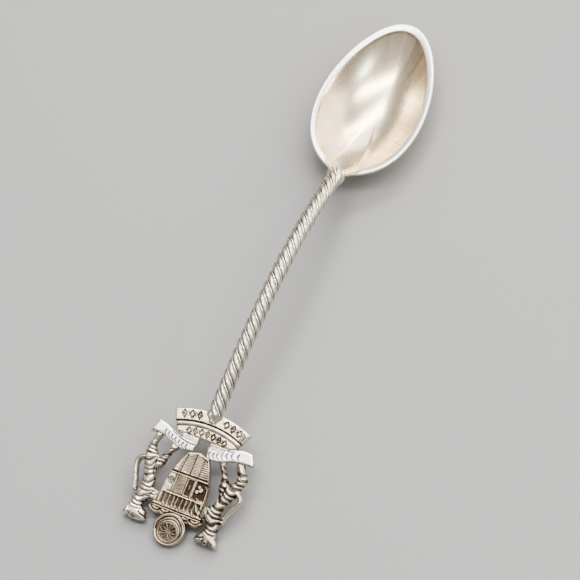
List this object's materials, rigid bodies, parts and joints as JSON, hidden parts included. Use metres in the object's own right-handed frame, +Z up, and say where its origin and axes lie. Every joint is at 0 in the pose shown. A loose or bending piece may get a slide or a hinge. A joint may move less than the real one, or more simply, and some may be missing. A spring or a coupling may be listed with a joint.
{
  "type": "souvenir spoon",
  "caption": "Small silver spoon with an egg-shaped bowl, a stem of twisted round wires and a flat pierced finial of a shield held by two striped animals over ribbons and a curved plaque.",
  "frame": {"origin": "under the middle of the spoon's box, on the surface that it lies on", "axes": "+Y runs along the spoon from the finial to the tip of the bowl, +Z is up out of the open bowl, and +X is to the right seen from above with the bowl ahead"},
  "size_m": [0.0236, 0.1228, 0.0151],
  "materials": {
    "bowl_silver": "silver, satin inside the bowl, polished rim",
    "rope_silver": "polished silver with dark tarnish in the grooves",
    "fine_wire_silver": "bright silver wire",
    "plaque_silver": "bright silver with engraved ornament",
    "ribbon_silver": "bright silver with engraved flutes",
    "shield_silver": "cast silver with tarnish in the engraving",
    "animal_silver": "cast silver with carved stripes and tarnish",
    "roundel_silver": "cast silver with tarnish in the rosette"
  },
  "bodies": {
    "root": {"bowl": "bowl_silver", "thick_wire_1": "rope_silver", "thick_wire_2": "rope_silver", "thick_wire_3": "rope_silver", "thick_wire_4": "rope_silver", "fine_wire_1": "fine_wire_silver", "fine_wire_2": "fine_wire_silver", "fine_wire_3": "fine_wire_silver", "fine_wire_4": "fine_wire_silver", "base_plaque": "plaque_silver", "upper_plaque": "plaque_silver", "ribbon_left": "ribbon_silver", "ribbon_right": "ribbon_silver", "shield": "shield_silver", "ledge_left": "shield_silver", "ledge_right": "shield_silver", "tiger_left": "animal_silver", "tiger_right": "animal_silver", "roundel_ring": "roundel_silver", "roundel_disc": "roundel_silver"}
  },
  "joints": []
}
